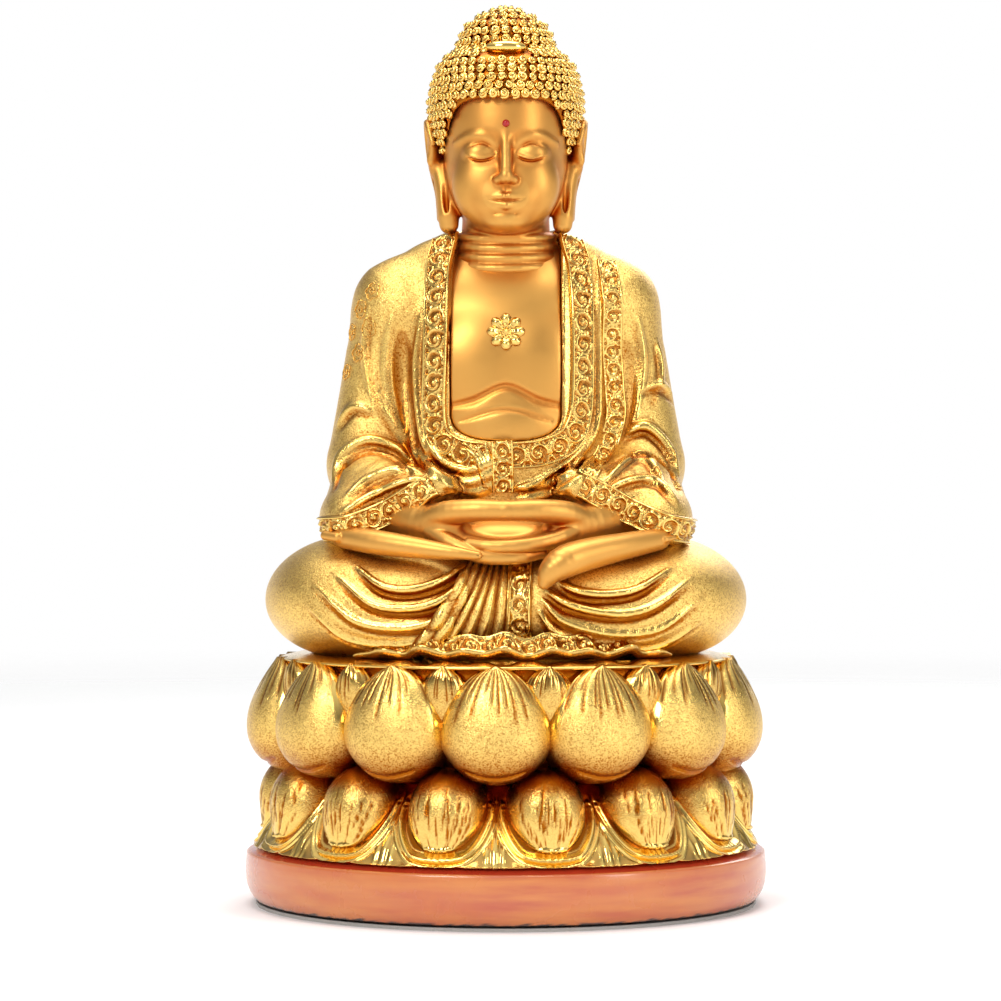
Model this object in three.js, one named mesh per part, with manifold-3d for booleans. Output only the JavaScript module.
// A seated figure in meditation on a double lotus throne, which stands on an oval plinth.
// Units are millimetres, +Z is up, the figure faces -Y and the origin is at the centre of the foot.
// The statue is an assembly of hollow resin castings on one central tie rod: plinth, two lotus tiers
// with their petals, seat, lap, torso, head and hands. A pinned board and a felt pad close it below.
import * as THREE from "three";
import { LoftGeometry } from "three/addons/geometries/LoftGeometry.js";
import { mergeVertices } from "three/addons/utils/BufferGeometryUtils.js";
import Module from "manifold-3d";

const wasm = await Module();
wasm.setup();

// ---- driving dimensions -------------------------------------------------------------------------
const GAP = 0.3; // between castings that touch on shaped faces
const WIDTH = 234; // plinth, side to side
const DEPTH = 224; // plinth, front to back
const OVAL = DEPTH / WIDTH; // every throne piece is a round form squeezed by this along Y
const HEIGHT = 405.5; // foot to the top of the crown
const WALL = 5; // of the hollow castings

const FELT_TOP = 1.5;
const BOARD_TOP = 5;
const PLINTH_TOP = 25.5;
const TIER_JOINT = 62; // where the upper lotus stands on the lower one
const SEAT_BOTTOM = 109.5;
const SEAT_TOP = 112.5;
const LAP_TOP = 165;
const NECK_BASE = 286; // bottom of the head's plug in the torso

const PETALS = 14; // in each ring
const PETAL_BOTTOM = 60.5; // lowest point of the upper ring, just over the lower one
const PETAL_PHASE = -2.5; // degrees that the rings are turned from the figure's centre line
const PETAL_STEP = 360 / PETALS;
const PETAL_SLIT = 0.35; // half of the slit between two petals

const ROD_RADIUS = 4;
const ROD_BOTTOM = 8;
const ROD_TOP = 132;
const ROD_CLEARANCE = 0.4;
const NUT = { radius: 7.5, height: 6.8 };
const WASHER = { radius: 12, height: 1.6 };
const PLATE = 5.5; // thickness of the plinth's top plate
const SCREW = { radius: 1.6, head: 3.6, length: 12, out: 0.82 }; // out: share of the board's radius

const GOLD_SAND = { color: 0xf0bf4c, metalness: 1, roughness: 0.38 };
const GOLD_MIRROR = { color: 0xf7cf62, metalness: 1, roughness: 0.12 };
const GOLD_SATIN = { color: 0xe3a446, metalness: 1, roughness: 0.45 };
const COPPER_PAINT = { color: 0xb4593b, metalness: 0.3, roughness: 0.4 };
const STEEL = { color: 0xb9bcc0, metalness: 1, roughness: 0.35 };
const BOARD = { color: 0x8b6a48, metalness: 0, roughness: 0.8 };
const FELT = { color: 0x2b2320, metalness: 0, roughness: 1 };
const RED_GLASS = { color: 0xa8131c, metalness: 0, roughness: 0.1 };

const statue = new THREE.Group();

// ---- solids from geometries ---------------------------------------------------------------------
// The closed solid of a geometry whose shared vertices get merged.
function solid(geometry) {
  const bare = new THREE.BufferGeometry();
  bare.setAttribute("position", geometry.getAttribute("position"));
  if (geometry.index) bare.setIndex(geometry.index);
  const merged = mergeVertices(bare, 1e-4);
  return new wasm.Manifold(
    new wasm.Mesh({
      numProp: 3,
      vertProperties: new Float32Array(merged.getAttribute("position").array),
      triVerts: new Uint32Array(merged.index.array),
    }),
  );
}

// The largest closed body of a solid, which drops slivers that a cut leaves behind.
function largest(shape) {
  return shape.decompose().reduce((a, b) => (a.volume() > b.volume() ? a : b));
}

// Adds one named sub-part to the statue.
function part(name, shape, finish) {
  const mesh = largest(shape).getMesh();
  const geometry = new THREE.BufferGeometry();
  geometry.setAttribute("position", new THREE.BufferAttribute(mesh.vertProperties, 3));
  geometry.setIndex(new THREE.BufferAttribute(mesh.triVerts, 1));
  geometry.computeVertexNormals();
  const placed = new THREE.Mesh(geometry, new THREE.MeshStandardMaterial(finish));
  placed.name = name;
  statue.add(placed);
}

function union(shapes) {
  return shapes.reduce((a, b) => a.add(b));
}

// ---- simple forms -------------------------------------------------------------------------------
// A body of revolution about Z from [radius, height] corners, from its lowest to its highest.
function lathe(corners, segments = 42) {
  const profile = corners.map(([r, z]) => new THREE.Vector2(r, z));
  profile.push(profile[0].clone());
  return solid(new THREE.LatheGeometry(profile, segments).rotateX(Math.PI / 2));
}

function cylinder(radius, bottom, top, segments = 20) {
  return lathe(
    [
      [0, bottom],
      [radius, bottom],
      [radius, top],
      [0, top],
    ],
    segments,
  );
}

function box(low, high) {
  const size = high.map((h, i) => h - low[i]);
  const centre = high.map((h, i) => (h + low[i]) / 2);
  return solid(new THREE.BoxGeometry(...size).translate(...centre));
}

// An ellipsoid, leaned by tilt radians about X (its top goes back for a positive tilt).
function ball(centre, radii, { tilt = 0, roll = 0, columns = 18, rows = 10 } = {}) {
  const shape = new THREE.SphereGeometry(1, columns, rows).rotateX(Math.PI / 2);
  shape.scale(...radii).rotateX(-tilt).rotateY(roll);
  return solid(shape.translate(...centre));
}

// A loft through horizontal oval sections: [height, half width, front y, back y].
function stack(stations, { grow = 0, columns = 32 } = {}) {
  const sections = stations.map(([z, half, front, back]) => {
    const middle = (front + back) / 2;
    const deep = (back - front) / 2;
    return Array.from({ length: columns }, (_, i) => {
      const angle = (i / columns) * 2 * Math.PI;
      const x = Math.cos(angle) * (half + grow);
      const y = Math.sin(angle) * (deep + grow);
      return new THREE.Vector3(x, middle + y, z);
    });
  });
  return solid(new LoftGeometry(sections, { capStart: true, capEnd: true }));
}

// A round limb through [x, y, z, radius] points, with domed ends. flat squeezes it along Z.
function limb(points, { grow = 0, columns = 14, steps = 3, flat = 1 } = {}) {
  const path = new THREE.CatmullRomCurve3(points.map(([x, y, z]) => new THREE.Vector3(x, y, z)));
  const radii = new THREE.SplineCurve(points.map((p, i) => new THREE.Vector2(i, p[3] + grow)));
  const count = (points.length - 1) * steps;
  const sections = [];
  const ring = (at, along, radius) => {
    const side = new THREE.Vector3(0, 0, 1).cross(along).normalize();
    const up = along.clone().cross(side);
    sections.push(
      Array.from({ length: columns }, (_, i) => {
        const angle = (i / columns) * 2 * Math.PI;
        const across = side.clone().multiplyScalar(Math.cos(angle) * radius);
        return at
          .clone()
          .add(across)
          .addScaledVector(up, Math.sin(angle) * radius * flat);
      }),
    );
  };
  const dome = (t, sign) =>
    [0.25, 0.7].forEach((share, i) => {
      const radius = radii.getPoint(t).y;
      const rise = [0.96, 0.7][i] * radius * sign;
      const along = path.getTangent(t);
      ring(path.getPoint(t).addScaledVector(along, rise), along, share * radius);
    });
  dome(0, -1);
  for (let i = 0; i <= count; i++) {
    const t = i / count;
    ring(path.getPoint(t), path.getTangent(t), radii.getPoint(t).y);
  }
  const last = sections.length;
  dome(1, 1);
  sections.push(...sections.splice(last).reverse());
  return solid(new LoftGeometry(sections, { capStart: true, capEnd: true }));
}

// A wedge about Z of the given half angle in degrees, less the slit that it keeps to its neighbour.
function wedge(halfAngle, slit, reach, bottom, top) {
  const angle = THREE.MathUtils.degToRad(halfAngle);
  const start = slit / Math.sin(angle);
  const shape = new THREE.Shape([
    new THREE.Vector2(0, -start),
    new THREE.Vector2(reach * Math.sin(angle), -start - reach * Math.cos(angle)),
    new THREE.Vector2(-reach * Math.sin(angle), -start - reach * Math.cos(angle)),
  ]);
  const slab = new THREE.ExtrudeGeometry(shape, { depth: top - bottom, bevelEnabled: false });
  return solid(slab.translate(0, 0, bottom));
}

// A strap of rectangular section along a path of [x, y, z] points, flat towards -Y.
function strap(points, width, thickness, steps = 14) {
  const section = new THREE.Shape([
    new THREE.Vector2(-thickness / 2, -width / 2),
    new THREE.Vector2(thickness / 2, -width / 2),
    new THREE.Vector2(thickness / 2, width / 2),
    new THREE.Vector2(-thickness / 2, width / 2),
  ]);
  const path = new THREE.CatmullRomCurve3(points.map((p) => new THREE.Vector3(...p)));
  const sections = Array.from({ length: steps + 1 }, (_, i) => {
    const [at, along] = [path.getPoint(i / steps), path.getTangent(i / steps)];
    const out = new THREE.Vector3(0, -1, 0).projectOnPlane(along).normalize();
    const across = along.clone().cross(out);
    return section
      .getPoints()
      .map((p) => at.clone().addScaledVector(out, p.x).addScaledVector(across, p.y));
  });
  return solid(new LoftGeometry(sections, { capStart: true, capEnd: true }));
}

const oval = (shape) => shape.scale([1, OVAL, 1]);
const turned = (shape, degrees) => shape.rotate([0, 0, degrees]);
const mirrored = (shape) => shape.mirror([1, 0, 0]);

// ---- foot, plinth and fasteners -----------------------------------------------------------------
const RIM = WIDTH / 2;
const SEAT_OF_BOARD = RIM - 13; // radius of the recess that takes the closing board
const CAVITY = RIM - 32;
const BOARD_FIT = 0.4;

function rodHole(bottom, top) {
  return cylinder(ROD_RADIUS + ROD_CLEARANCE, bottom, top);
}

function screwPlaces() {
  const out = (SEAT_OF_BOARD - BOARD_FIT) * SCREW.out;
  return [45, 135, 225, 315].map((degrees) => {
    const angle = THREE.MathUtils.degToRad(degrees);
    return [out * Math.cos(angle), out * Math.sin(angle) * OVAL, 0];
  });
}

function screw(grow) {
  const seat = FELT_TOP + 2;
  return lathe(
    [
      [0, FELT_TOP],
      [SCREW.head + grow, FELT_TOP],
      [SCREW.radius + grow, seat],
      [SCREW.radius + grow, FELT_TOP + SCREW.length + grow],
      [0, FELT_TOP + SCREW.length + grow],
    ],
    12,
  );
}

function makeFoot() {
  part("felt_pad", oval(cylinder(RIM - 5, 0, FELT_TOP, 42)), FELT);

  const holes = union(screwPlaces().map((at) => screw(GAP).translate(at)));
  const plinth = lathe([
    [0, PLINTH_TOP - PLATE],
    [CAVITY, PLINTH_TOP - PLATE],
    [CAVITY, BOARD_TOP],
    [SEAT_OF_BOARD, BOARD_TOP],
    [SEAT_OF_BOARD, FELT_TOP],
    [RIM - 4.5, FELT_TOP],
    [RIM - 1.6, 5],
    [RIM - 0.3, 10],
    [RIM, 15],
    [RIM - 0.4, 20],
    [RIM - 0.9, PLINTH_TOP - 0.8],
    [RIM - 1.8, PLINTH_TOP],
    [0, PLINTH_TOP],
  ]);
  part(
    "plinth",
    oval(plinth).subtract(holes).subtract(rodHole(0, PLINTH_TOP + 1)),
    COPPER_PAINT,
  );

  const board = oval(cylinder(SEAT_OF_BOARD - BOARD_FIT, FELT_TOP, BOARD_TOP, 42));
  part("closing_board", board.subtract(holes), BOARD);
  screwPlaces().forEach((at, i) => part(`board_screw_${i + 1}`, screw(0).translate(at), STEEL));
}

function makeTieRod() {
  const plate = PLINTH_TOP - PLATE;
  const bore = rodHole(0, HEIGHT);
  const washer = cylinder(WASHER.radius, plate - WASHER.height, plate);
  const nutTop = plate - WASHER.height;
  part("tie_rod", cylinder(ROD_RADIUS, ROD_BOTTOM, ROD_TOP), STEEL);
  part("tie_washer", washer.subtract(bore), STEEL);
  part("tie_nut", cylinder(NUT.radius, nutTop - NUT.height, nutTop, 6).subtract(bore), STEEL);
}

// ---- lotus throne -------------------------------------------------------------------------------
// Outer corners of the two cores, which the petals are bonded to.
function lowerCorners(grow = 0) {
  return [
    [106 + grow, PLINTH_TOP],
    [103 + grow, PLINTH_TOP + 4],
    [88 + grow, 40],
    [84 + grow, TIER_JOINT],
  ];
}

function upperCorners(grow = 0) {
  return [
    [84 + grow, TIER_JOINT],
    [94 + grow, 84],
    [95 + grow, SEAT_BOTTOM],
  ];
}

// A closed form under a row of outer corners, with one flat side for each petal of a ring.
function facetted(corners, offset) {
  const [low, high] = [corners[0][1], corners[corners.length - 1][1]];
  const form = lathe([[0, low], ...corners, [0, high]], PETALS);
  return turned(form, (offset + 0.5) * PETAL_STEP + PETAL_PHASE);
}

function lowerCore() {
  const inside = [
    [0, PLINTH_TOP - 1],
    [97, PLINTH_TOP - 1],
    [80, 40],
    [77, TIER_JOINT - WALL],
    [0, TIER_JOINT - WALL],
  ];
  const hollow = lathe(inside, 2 * PETALS);
  return facetted(lowerCorners(), 0.5).subtract(hollow);
}

function upperTips(grow = 0) {
  const above = box([-20, -200, 88], [20, 0, SEAT_BOTTOM]);
  const tip = ball([0, -98, 95], [13 + grow, 8 + grow, 18 + grow], { columns: 6, rows: 4 });
  return union(ring((step) => turned(tip.intersect(above), step), 0.5));
}

function upperCore() {
  const inside = [
    [0, TIER_JOINT + WALL],
    [77, TIER_JOINT + WALL],
    [86, 84],
    [87, SEAT_BOTTOM + 1],
    [0, SEAT_BOTTOM + 1],
  ];
  const hollow = lathe(inside, 2 * PETALS);
  return facetted(upperCorners(), 0).add(upperTips()).subtract(hollow);
}

// One shape for each place of a ring of petals, offset by a share of the pitch.
function ring(make, offset) {
  return Array.from({ length: PETALS }, (_, i) => make((i + offset) * PETAL_STEP + PETAL_PHASE));
}

// An upright outer petal on the front centre line.
function upperPetal() {
  const bulb = ball([0, -94, 85.5], [26, 21, 25.5], { tilt: 0.1, columns: 10, rows: 7 });
  const room = box([-200, -200, PETAL_BOTTOM], [200, 200, SEAT_BOTTOM - GAP]);
  return bulb.intersect(room);
}

// A drooping outer petal, with the flange that its tip spreads into on the plinth.
function lowerPetal() {
  const bulb = ball([0, -89, 45], [19.5, 20, 20], { tilt: -0.12, columns: 10, rows: 7 });
  const flange = ball([0, -94, 26], [27, 20, 8], { columns: 10, rows: 6 });
  const room = box([-200, -200, PLINTH_TOP], [200, 200, PETAL_BOTTOM - GAP]);
  return bulb.add(flange).intersect(room);
}

function makeThrone() {
  const bore = rodHole(0, HEIGHT);
  const slot = wedge(PETAL_STEP / 2, PETAL_SLIT, 140, 0, HEIGHT);

  part("lower_lotus_core", oval(lowerCore()).subtract(bore), GOLD_SAND);
  part("upper_lotus_core", oval(upperCore()).subtract(bore), GOLD_SAND);
  part("seat_plate", oval(lathe(seatProfile())).subtract(bore), GOLD_MIRROR);

  const upperCutter = facetted(upperCorners(GAP), 0).add(upperTips(GAP));
  ring((step) => turned(upperPetal().intersect(slot), step).subtract(upperCutter), 0).forEach(
    (petal, i) => part(`upper_petal_${i + 1}`, oval(petal), GOLD_SAND),
  );

  const lowerCutter = facetted(lowerCorners(GAP), 0.5);
  ring((step) => turned(lowerPetal().intersect(slot), step).subtract(lowerCutter), 0.5).forEach(
    (petal, i) => part(`lower_petal_${i + 1}`, oval(petal), GOLD_SAND),
  );
}

function seatProfile() {
  return [
    [0, SEAT_BOTTOM],
    [96.5, SEAT_BOTTOM],
    [97.5, SEAT_BOTTOM + 0.8],
    [97.5, SEAT_TOP - 0.8],
    [96.5, SEAT_TOP],
    [0, SEAT_TOP],
  ];
}

// ---- figure -------------------------------------------------------------------------------------
// Torso sections under the robe: height, half width, front, back.
const TORSO = [
  [150, 62, -30, 60],
  [176, 62, -32, 60],
  [205, 62, -30, 57],
  [235, 62, -28, 54],
  [262, 62, -25, 51],
  [280, 58, -20, 47],
  [291, 50, -14, 42],
  [298, 38, -8, 36],
  [302, 26, -4, 30],
];
const OPENING = { half: 24.5, bottom: 206, back: -4, arch: 12 }; // of the robe over the chest
const SKIN_DEEP = 2.6; // how far the chest lies behind the robe's front
const EMBLEM = { z: 255, radius: 8.5, depth: 5, out: 1.6 };
const NECK_RADIUS = 21;
const PLUG_RADIUS = 13;
const NECK_Y = 11;

// Upper arm, elbow and forearm of the figure's right side, inside the sleeve.
const SLEEVE = [
  [-48, 12, 270, 21],
  [-52, 12, 249, 19.5],
  [-56, 11, 224, 19.5],
  [-60, 5, 198, 20],
  [-56, -16, 184, 18],
  [-42, -34, 178, 13],
];

function lapMass(grow) {
  const mass = (centre, radii, roll = 0) =>
    ball(centre, radii.map((r) => r + grow), { roll, columns: 16, rows: 8 });
  const knee = mass([-67, -14, 137.5], [39.5, 54, 27.5], 0.06);
  const shin = mass([-30, -45, 133], [54, 34, 24]);
  const seat = mass([0, 22, 134], [72, 46, 32]);
  return union([knee, mirrored(knee), shin, mirrored(shin), seat]);
}

function torsoMass(grow = 0) {
  const sleeve = limb(SLEEVE, { grow, columns: 10, steps: 1 });
  const drape = ball([-60, -8, 180], [18 + grow, 33 + grow, 16 + grow], { columns: 10, rows: 8 });
  const trunk = stack(TORSO, { grow, columns: 20 });
  return union([trunk, sleeve, mirrored(sleeve), drape, mirrored(drape)]);
}

function chestRoom(grow) {
  const side = OPENING.half + grow;
  const spring = OPENING.bottom + OPENING.arch;
  const arch = ball([0, 0, spring], [side, 60, OPENING.arch + grow], { columns: 24 });
  const upper = box([-side, -60, spring], [side, OPENING.back + grow, 320]);
  return upper.add(arch.intersect(box([-60, -60, 0], [60, OPENING.back + grow, 320])));
}

function makeLap() {
  const above = box([-150, -150, SEAT_TOP], [150, 150, HEIGHT]);
  const hollow = ball([0, -8, SEAT_TOP], [62, 40, 37], { columns: 14, rows: 8 });
  const foot = lathe([
    [0, SEAT_TOP],
    [78, SEAT_TOP],
    [78, SEAT_TOP + 8],
    [0, SEAT_TOP + 8],
  ]).scale([1, 0.72, 1]);
  const boss = cylinder(14, SEAT_TOP, LAP_TOP - 12);
  const pocket = cylinder(ROD_RADIUS + ROD_CLEARANCE, 0, ROD_TOP + 2);
  const casting = lapMass(0)
    .add(foot)
    .subtract(hollow)
    .add(boss)
    .intersect(above)
    .subtract(pocket)
    .subtract(torsoMass(GAP))
    .subtract(union([...feet(GAP), handMass(GAP)]));
  part("lap_robe", casting, GOLD_SAND);
}

function makeTorso() {
  const core = stack(
    TORSO.map(([z, half, front, back]) => [z - WALL, half - 14, front + 9, back - 9]),
    { columns: 16 },
  );
  const plug = cylinder(PLUG_RADIUS + GAP, NECK_BASE - 1, 330).translate([0, NECK_Y, 0]);
  const collar = cylinder(NECK_RADIUS + GAP, 296.5, 330).translate([0, NECK_Y, 0]);
  const hollow = core.intersect(box([-90, -90, 100], [90, 90, NECK_BASE - 8]));
  const casting = torsoMass()
    .subtract(hollow)
    .subtract(chestRoom(GAP))
    .subtract(plug)
    .subtract(collar)
    .subtract(handMass(GAP));
  part("torso_robe", casting, GOLD_SAND);

  const chest = skinMass().intersect(chestRoom(0)).subtract(collar).subtract(plug);
  part("chest", chest, GOLD_SATIN);
}

// y of the robe's front over the trunk, at x and height z.
function frontOf(x, z) {
  const i = Math.max(1, TORSO.findIndex((s) => s[0] >= z));
  const [low, high] = [TORSO[i - 1], TORSO[i]];
  const t = (z - low[0]) / (high[0] - low[0]);
  const [, half, front, back] = low.map((v, k) => v + (high[k] - v) * t);
  const middle = (front + back) / 2;
  return middle - ((back - front) / 2) * Math.sqrt(Math.max(0, 1 - (x / half) ** 2));
}

function onFront([x, z]) {
  return [x, frontOf(x, z) - 1, z];
}

// A trim strap laid on the robe's front, cut back to stand just clear of what lies under it.
function trim(name, points, width, others) {
  const laid = strap(points.map(onFront), width, 5);
  const clear = others.reduce((shape, other) => shape.subtract(other), laid);
  part(name, clear.translate([0, -GAP, 0]), GOLD_MIRROR);
}

function makeTrim() {
  const under = torsoMass();
  const centre = cylinder(NECK_RADIUS + 2, 290, 330).translate([0, NECK_Y, 0]);
  const right = [
    [-25, 293],
    [-30, 270],
    [-31, 240],
    [-30, 217],
    [-22, 203],
    [-9, 197.5],
  ];
  const left = [
    [28, 292],
    [33, 270],
    [33, 240],
    [31, 216],
    [22, 203],
    [9, 197.5],
  ];
  trim("collar_band_right", right, 11, [under, centre]);
  trim("collar_band_left", left, 11, [under, centre]);
  const shawl = [
    [44, 283],
    [48, 262],
    [47, 235],
    [43, 212],
    [34, 194],
  ];
  trim("shawl_band", shawl, 10, [under]);

  const knot = ball([1, -33, 194], [7, 7, 11], { columns: 12, rows: 8 });
  const room = union([under, handMass(GAP), strap(right.map(onFront), 12, 7)]);
  const bands = strap(left.map(onFront), 12, 7);
  part("sash_knot", knot.subtract(room).subtract(bands).translate([0, -GAP, 0]), GOLD_MIRROR);
}

// A raised rosette of eight lobes on the middle of the chest.
function makeEmblem() {
  const outline = new THREE.Shape();
  const lobes = 8;
  const reach = EMBLEM.radius * 0.68;
  for (let i = 0; i < lobes; i++) {
    const middle = (i / lobes) * 2 * Math.PI;
    const [x, y] = [reach * Math.cos(middle), reach * Math.sin(middle)];
    outline.absarc(x, y, EMBLEM.radius - reach, middle - 1.35, middle + 1.35, false);
  }
  const slab = new THREE.ExtrudeGeometry(outline, {
    depth: EMBLEM.depth,
    bevelEnabled: false,
    curveSegments: 4,
  });
  const front = frontOf(0, EMBLEM.z) + SKIN_DEEP - EMBLEM.out;
  const placed = solid(slab.rotateX(Math.PI / 2).translate(0, front + EMBLEM.depth, EMBLEM.z));
  part("chest_emblem", placed.subtract(skinMass(GAP)), GOLD_MIRROR);
}

// The trunk's bare surface, a little behind the robe's.
function skinMass(grow = 0) {
  const stations = TORSO.map(([z, half, front, back]) => [z, half, front + SKIN_DEEP, back]);
  return stack(stations, { grow, columns: 20 });
}

// Hands laid in the lap, palms up, thumb tips together over the fingers.
function handMass(grow = 0) {
  const palm = limb(
    [
      [-41, -42, 174, 8.5],
      [-30, -50, 172, 9],
      [-14, -55, 166, 8],
      [0, -56, 164, 7],
    ],
    { grow, flat: 0.72, columns: 12, steps: 2 },
  );
  const thumb = limb(
    [
      [-33, -46, 178, 4.6],
      [-18, -50, 182, 4],
      [-2, -53, 183.5, 3.6],
    ],
    { grow, columns: 8, steps: 2 },
  );
  return union([palm, mirrored(palm), thumb, mirrored(thumb)]);
}

// Soles turned up on the thighs: the figure's left foot, then its right.
function feet(grow = 0) {
  const left = limb(
    [
      [-8, -66, 157, 6],
      [-30, -60, 161, 8],
      [-55, -46, 164, 8.5],
      [-72, -36, 164, 6],
    ],
    { grow, flat: 0.62, columns: 12, steps: 2 },
  );
  const right = limb(
    [
      [17, -72, 150, 9],
      [34, -66, 159, 8.5],
      [56, -52, 165, 8.5],
      [76, -38, 166, 6],
    ],
    { grow, flat: 0.62, columns: 12, steps: 2 },
  );
  return [left, right];
}

function makeHandsAndFeet() {
  const [left, right] = feet();
  const neighbours = torsoMass(GAP).add(handMass(GAP));
  part("hands", handMass(), GOLD_SATIN);
  part("foot_left", left.subtract(neighbours), GOLD_SATIN);
  part("foot_right", right.subtract(neighbours), GOLD_SATIN);
}

// Hanging cloth with ridged pleats, from [height, x, half width, front y, ridge] stations.
function pleated(stations, ridges = 9) {
  const sections = stations.map(([z, x, half, front, ridge]) => {
    const face = Array.from({ length: 2 * ridges + 1 }, (_, i) => {
      const across = i / ridges - 1;
      const y = front + 8 * across ** 2 - (i % 2) * ridge;
      return new THREE.Vector3(x + across * half, y, z);
    });
    const rear = [1, -1].map((side) => new THREE.Vector3(x + side * half, -60, z));
    return [...face, ...rear];
  });
  return solid(new LoftGeometry(sections, { capStart: true, capEnd: true }));
}

// The pleated cloth that falls over the shins and spreads on the seat.
function makeApron() {
  const arc = new THREE.Shape();
  const [inner, outer, from, to] = [74, 92.5, -2.28, -0.84];
  arc.absarc(0, 0, outer, from, to, false);
  arc.absarc(0, 0, inner, to, from, true);
  const rimmed = new THREE.ExtrudeGeometry(arc, {
    depth: 9,
    bevelEnabled: false,
    curveSegments: 20,
  });
  const hem = oval(solid(rimmed.translate(0, 0, SEAT_TOP)));
  const fall = pleated([
    [SEAT_TOP, -12, 36, -92, 3],
    [126, -12, 31, -88, 2.4],
    [142, -13, 24, -82, 1.8],
    [157, -13, 17, -74, 1.2],
  ]);
  const under = union([lapMass(GAP), handMass(GAP), ...feet(GAP)]);
  part("apron", hem.add(fall).subtract(under), GOLD_SAND);
}

// ---- head ---------------------------------------------------------------------------------------
const HEAD_Y = 10;
const CHIN = 300;
const HAIRLINE = 358.5;
const FACE_HALF = 28; // half of the face's width
const THIRD = (HAIRLINE - CHIN) / 3; // chin to nose, nose to brow, brow to hair
const NOSE_Z = CHIN + THIRD;
const BROW_Z = CHIN + 2 * THIRD;
const MOUTH_Z = NOSE_Z - THIRD / 3;
const EYE_Z = BROW_Z - THIRD / 4;
const EYE_WIDTH = (2 * FACE_HALF) / 5; // a face is five eyes wide
const FACE_Y = -24.5; // its flattest part, over the brow
const EAR = { x: 32, y: 12, top: 353, bottom: 303 };
const FEATURE = { columns: 8, rows: 6 };

function skull(grow = 0) {
  const stations = [
    [CHIN, 8, -20, -6],
    [CHIN + 3, 14, -24, 6],
    [CHIN + 9, 20, -25, 20],
    [NOSE_Z - 2, 24.5, FACE_Y, 32],
    [CHIN + 28, 27, FACE_Y, 40],
    [BROW_Z, FACE_HALF, FACE_Y, 43],
    [HAIRLINE, FACE_HALF, -22, 43],
    [374, 23, -15, 38],
    [381, 13, -4, 27],
  ];
  return stack(stations, { grow, columns: 20 });
}

// The hair over the skull and the bun on the crown, before the face is opened.
function hairMass() {
  const cap = stack(
    [
      [316, 23, 14, 40],
      [326, 27, 8, 46],
      [338, 30, -6, 49],
      [348, 34.5, -24, 49.5],
      [358, 35.7, -28, 49.5],
      [368, 34.8, -27, 48],
      [375, 32.5, -23, 45],
      [380, 29.5, -19, 41],
      [385, 24, -13, 34],
      [388, 15, -4, 24],
    ],
    { columns: 20 },
  );
  return cap.add(ball([0, HEAD_Y, HEIGHT - 18.5], [22, 22, 18.5], { columns: 14, rows: 10 }));
}

// The arch that the hairline leaves open over the face.
function faceArch() {
  const arch = new THREE.Shape();
  arch.absellipse(0, 0, FACE_HALF + 1, HAIRLINE - 328, 0, 2 * Math.PI, false);
  const slab = new THREE.ExtrudeGeometry(arch, {
    depth: 60,
    bevelEnabled: false,
    curveSegments: 16,
  });
  return solid(slab.rotateX(Math.PI / 2).translate(0, -3, 328));
}

function ear(grow = 0) {
  const middle = (EAR.top + EAR.bottom) / 2;
  const shell = ball(
    [-EAR.x, EAR.y, EAR.top - 14],
    [4 + grow, 8 + grow, 14 + grow],
    FEATURE,
  );
  const lobe = ball(
    [-EAR.x - 0.4, EAR.y - 2, (middle + EAR.bottom) / 2 + 3],
    [3.5 + grow, 5.5 + grow, (middle - EAR.bottom) / 2 + 3 + grow],
    FEATURE,
  );
  return shell.add(lobe);
}

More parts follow.
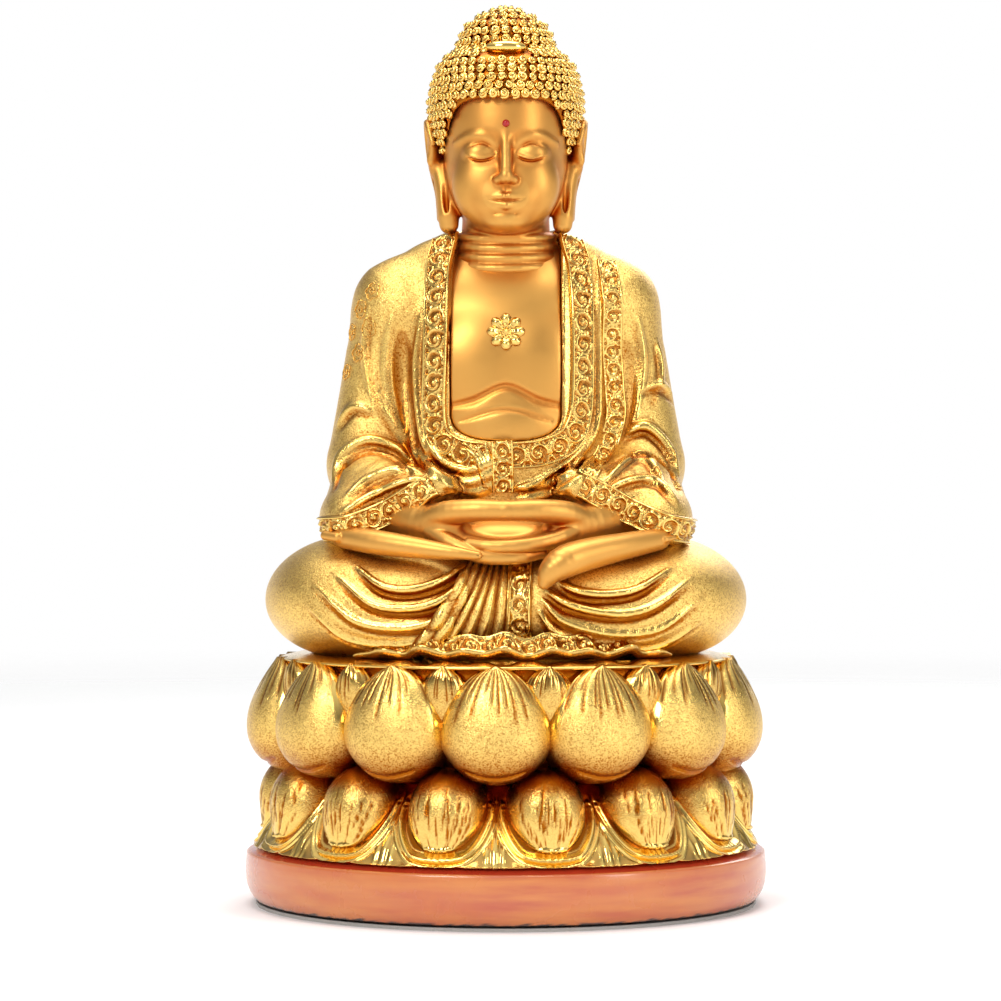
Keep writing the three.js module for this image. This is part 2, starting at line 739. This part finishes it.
// The left half of the face's relief: lid, brow and nostril.
function halfFeatures() {
  const lid = ball([EYE_WIDTH, FACE_Y + 5, EYE_Z], [EYE_WIDTH / 2, 4.3, 3.4], FEATURE);
  const wing = ball([EYE_WIDTH / 3, FACE_Y - 1.5, NOSE_Z + 2], [2.6, 3, 2.4], FEATURE);
  const brow = limb(
    [
      [3, FACE_Y + 0.4, BROW_Z - 1, 1.3],
      [EYE_WIDTH, FACE_Y + 2.4, BROW_Z + 2, 1.5],
      [EYE_WIDTH * 1.9, FACE_Y + 9.5, BROW_Z, 1.1],
    ],
    { columns: 6, steps: 2 },
  );
  return union([lid, wing, brow]);
}

function features() {
  const nose = limb(
    [
      [0, FACE_Y - 0.2, BROW_Z - 1, 2],
      [0, FACE_Y - 3, (BROW_Z + NOSE_Z) / 2, 2.6],
      [0, FACE_Y - 4.6, NOSE_Z + 3, 3.3],
    ],
    { columns: 8, steps: 1 },
  );
  const upperLip = ball([0, FACE_Y + 0.6, MOUTH_Z + 1.4], [8, 2.6, 1.7], FEATURE);
  const lowerLip = ball([0, FACE_Y + 0.6, MOUTH_Z - 1.6], [6.6, 2.8, 1.9], FEATURE);
  const chin = ball([0, FACE_Y + 4, CHIN + 5], [8, 4.6, 5], FEATURE);
  const half = halfFeatures();
  return union([nose, upperLip, lowerLip, chin, half, mirrored(half)]);
}

function beadAt(radius) {
  const above = [0, FACE_Y, BROW_Z + THIRD * 0.42];
  return ball(above, [radius, radius, radius], FEATURE);
}

function crownJewel(grow = 0) {
  const seat = [0, HEAD_Y - 23, HEIGHT - 19.5];
  return ball(seat, [9 + grow, 3.4 + grow, 3.8 + grow], { columns: 10, rows: 8 });
}

function makeHead() {
  const neck = cylinder(NECK_RADIUS, 296.8, CHIN + 15).translate([0, NECK_Y, 0]);
  const plug = cylinder(PLUG_RADIUS, NECK_BASE, 300).translate([0, NECK_Y, 0]);
  const ears = ear().add(mirrored(ear()));
  const head = union([skull(), neck, plug, features(), ears]);
  part("head", head.subtract(beadAt(2 + GAP)), GOLD_SATIN);
  part("brow_bead", beadAt(2), RED_GLASS);

  const earRoom = ear(GAP).add(mirrored(ear(GAP)));
  const jaw = box([-60, -60, 200], [60, 2, 338]);
  const room = union([skull(GAP), faceArch(), earRoom, jaw, crownJewel(GAP)]);
  part("hair_cap", hairMass().subtract(room), GOLD_MIRROR);
  part("crown_jewel", crownJewel(), GOLD_MIRROR);
}

// ---- assembly -----------------------------------------------------------------------------------
makeFoot();
makeTieRod();
makeThrone();
makeLap();
makeTorso();
makeTrim();
makeEmblem();
makeHandsAndFeet();
makeApron();
makeHead();

export default statue;
